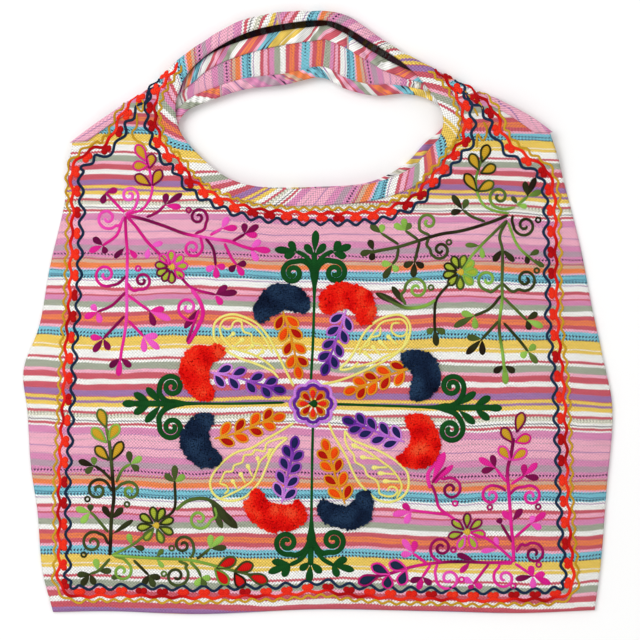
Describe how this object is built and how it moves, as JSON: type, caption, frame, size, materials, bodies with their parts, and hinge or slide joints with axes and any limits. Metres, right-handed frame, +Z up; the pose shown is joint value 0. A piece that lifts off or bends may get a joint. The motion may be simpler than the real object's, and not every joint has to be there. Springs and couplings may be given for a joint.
{
  "type": "embroidered shoulder tote",
  "caption": "Soft striped cotton shoulder tote with a bound oval hand hole, a rolled handle and raised floral embroidery on its front, lying flat on its back.",
  "frame": {"origin": "middle of the underside of the bag as it lies, halfway between its sides and halfway from its bottom seam to the top of its handle", "axes": "+Z up from the table through the front of the bag, +Y towards the handle, +X towards the bag's right side as seen from the front"},
  "size_m": [0.4682, 0.482, 0.0239],
  "materials": {
    "striped_cotton": "coarse woven cotton in coloured stripes",
    "binding_cotton": "the same striped cotton cut on the bias and folded",
    "scarlet_pile": "cut yarn pile, matt",
    "navy_pile": "cut yarn pile, matt",
    "thread": "soft twisted embroidery yarn with a faint sheen"
  },
  "bodies": {
    "root": {"front_panel": "striped_cotton", "back_panel": "striped_cotton", "front_hole_binding": "binding_cotton", "back_hole_binding": "binding_cotton", "front_mouth_binding": "binding_cotton", "back_mouth_binding": "binding_cotton", "rosette": "thread", "flower_head_1": "scarlet_pile", "flower_head_2": "navy_pile", "flower_head_3": "scarlet_pile", "flower_head_4": "navy_pile", "flower_head_5": "scarlet_pile", "flower_head_6": "navy_pile", "flower_head_7": "scarlet_pile", "flower_head_8": "navy_pile"}
  },
  "joints": []
}
